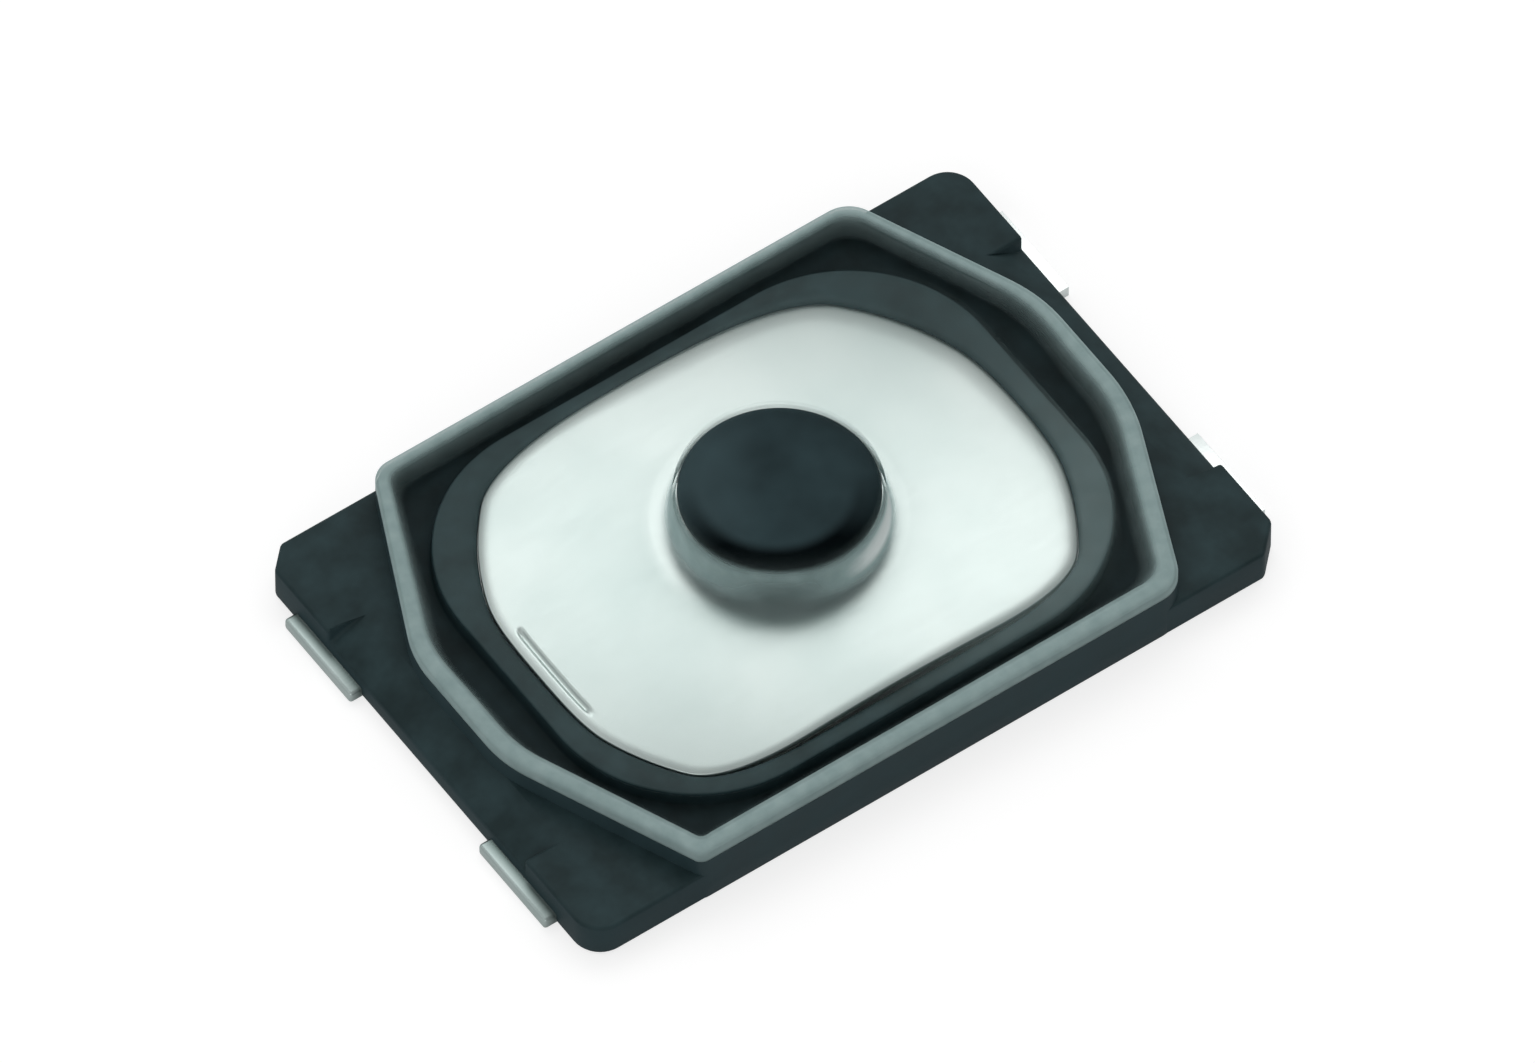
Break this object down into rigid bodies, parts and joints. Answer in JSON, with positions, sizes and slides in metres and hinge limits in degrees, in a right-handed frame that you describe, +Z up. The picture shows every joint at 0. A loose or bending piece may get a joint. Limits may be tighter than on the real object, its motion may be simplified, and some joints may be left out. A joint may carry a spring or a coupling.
{
  "type": "tactile push button switch",
  "caption": "Low surface-mount tactile switch: a moulded housing with four soldered feet, a snap dome, and a short round pusher sealed under a clear film.",
  "frame": {"origin": "middle of the underside, in the plane of the four soldered feet", "axes": "+X along the long side, +Y along the short side, +Z up towards the pusher"},
  "size_m": [0.003, 0.002, 0.0005],
  "materials": {
    "housing_plastic": "fine matte, moulded",
    "plated_contact": "satin silver plating on copper alloy",
    "dome_steel": "satin silver plating on stainless steel",
    "pusher_plastic": "matte, moulded",
    "clear_film": "clear, hazy where it is welded and where it is drawn up"
  },
  "bodies": {
    "base": {"housing": "housing_plastic", "outer_contact": "plated_contact", "middle_contact": "plated_contact", "cover_film": "clear_film"},
    "button": {"pusher": "pusher_plastic", "snap_dome": "dome_steel"}
  },
  "joints": [
    {"name": "press", "type": "slide", "parent": "base", "child": "button", "axis": [0, 0, -1], "range_m": [0, 0.00008], "stiffness_N_per_m": 16000, "deforming": ["snap_dome", "cover_film"]}
  ]
}
